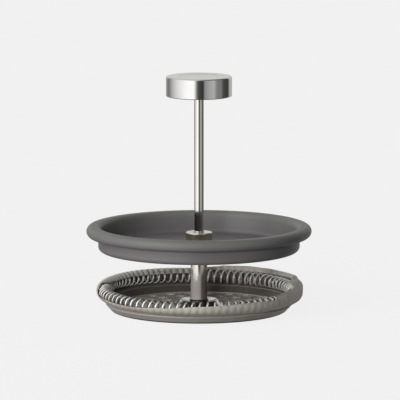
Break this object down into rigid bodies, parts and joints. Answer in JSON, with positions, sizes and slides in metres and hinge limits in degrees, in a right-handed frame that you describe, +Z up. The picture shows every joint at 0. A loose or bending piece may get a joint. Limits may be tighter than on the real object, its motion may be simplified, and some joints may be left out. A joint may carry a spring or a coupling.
{
  "type": "coffee press plunger",
  "caption": "Coffee press plunger: a round lid with a rolled rim slides and turns on a rod between a disc knob and a mesh filter with a spring edge.",
  "frame": {"origin": "centre of the filter's flat underside, on the rod's axis", "axes": "+Z up along the rod towards the knob; the part is round, so +X and +Y are any two directions square to it"},
  "size_m": [0.1126, 0.1126, 0.1178],
  "materials": {
    "knob_steel": "polished",
    "insert_brass": "satin",
    "rod_steel": "polished",
    "nut_nickel": "satin",
    "black_silicone": "matte",
    "lid_glaze": "satin",
    "sleeve_steel": "polished",
    "bush_acetal": "satin",
    "hub_steel": "polished",
    "plate_steel": "satin",
    "spring_wire": "polished",
    "woven_steel": "satin"
  },
  "bodies": {
    "plunger": {"rod": "rod_steel", "knob_shell": "knob_steel", "knob_base_plate": "knob_steel", "knob_insert": "insert_brass", "bumper_ring": "black_silicone", "hub_cap": "hub_steel", "hub_nut": "hub_steel", "spring_plate": "plate_steel", "spring_flange": "plate_steel", "rim_spring": "spring_wire", "mesh_eyelet": "plate_steel", "filter_mesh": "woven_steel", "base_plate": "plate_steel"},
    "guide_bushes": {"guide_bush_top": "bush_acetal", "guide_bush_bottom": "bush_acetal"},
    "lid_assembly": {"lid": "lid_glaze", "knurled_nut": "nut_nickel", "upper_washer": "black_silicone", "lower_washer": "black_silicone", "guide_sleeve": "sleeve_steel"}
  },
  "joints": [
    {"name": "lid_slide", "type": "slide", "parent": "plunger", "child": "guide_bushes", "axis": [0, 0, 1], "range_m": [0, 0.0684]},
    {"name": "lid_spin", "type": "hinge", "parent": "guide_bushes", "child": "lid_assembly", "pos_m": [0, 0, 0.03], "axis": [0, 0, 1], "continuous": true}
  ]
}
